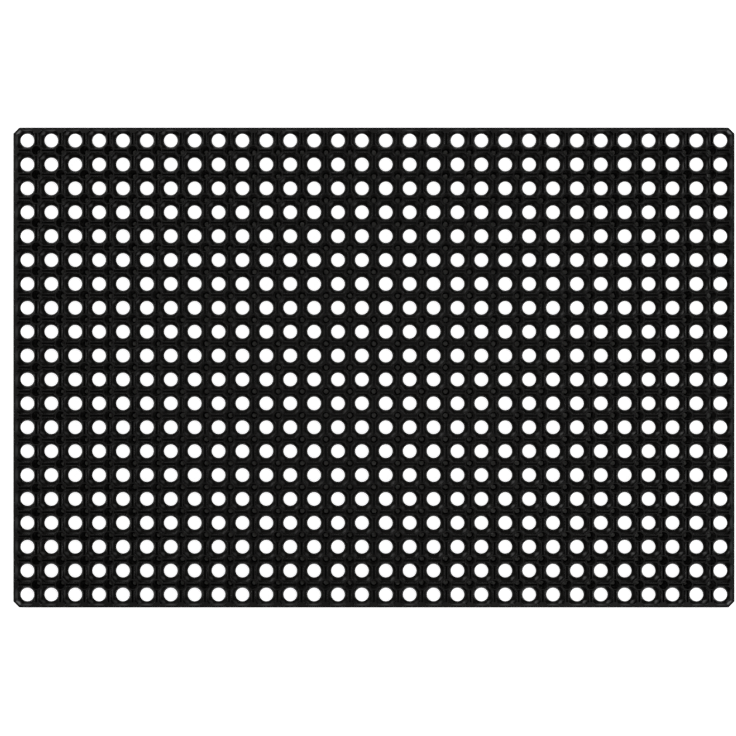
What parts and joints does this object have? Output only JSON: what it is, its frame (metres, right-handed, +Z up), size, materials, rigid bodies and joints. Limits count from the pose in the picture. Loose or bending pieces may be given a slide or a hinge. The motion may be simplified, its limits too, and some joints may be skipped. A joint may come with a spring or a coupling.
{
  "type": "door mat",
  "caption": "Rectangular black rubber ring mat for a doorway: a grid of round drain holes in octagonal recesses, hollow studs between them, and a thin rim with cut corners.",
  "frame": {"origin": "on the floor, under the centre of the mat", "axes": "+Z up, away from the floor; +X along the long side, to the right; +Y along the short side, towards the back"},
  "size_m": [0.598, 0.398, 0.016],
  "materials": {
    "rubber": "semi-matt moulded black rubber"
  },
  "bodies": {
    "root": {"ring_row_01": "rubber", "ring_row_02": "rubber", "ring_row_03": "rubber", "ring_row_04": "rubber", "ring_row_05": "rubber", "ring_row_06": "rubber", "ring_row_07": "rubber", "ring_row_08": "rubber", "ring_row_09": "rubber", "ring_row_10": "rubber", "ring_row_11": "rubber", "ring_row_12": "rubber", "ring_row_13": "rubber", "ring_row_14": "rubber", "ring_row_15": "rubber", "ring_row_16": "rubber", "ring_row_17": "rubber", "ring_row_18": "rubber", "ring_row_19": "rubber", "ring_row_20": "rubber", "stud_row_01": "rubber", "stud_row_02": "rubber", "stud_row_03": "rubber", "stud_row_04": "rubber", "stud_row_05": "rubber", "stud_row_06": "rubber", "stud_row_07": "rubber", "stud_row_08": "rubber", "stud_row_09": "rubber", "stud_row_10": "rubber", "stud_row_11": "rubber", "stud_row_12": "rubber", "stud_row_13": "rubber", "stud_row_14": "rubber", "stud_row_15": "rubber", "stud_row_16": "rubber", "stud_row_17": "rubber", "stud_row_18": "rubber", "stud_row_19": "rubber", "rim_front": "rubber", "rim_back": "rubber", "rim_left": "rubber", "rim_right": "rubber", "corner_front_left": "rubber", "corner_front_right": "rubber", "corner_back_left": "rubber", "corner_back_right": "rubber"}
  },
  "joints": []
}
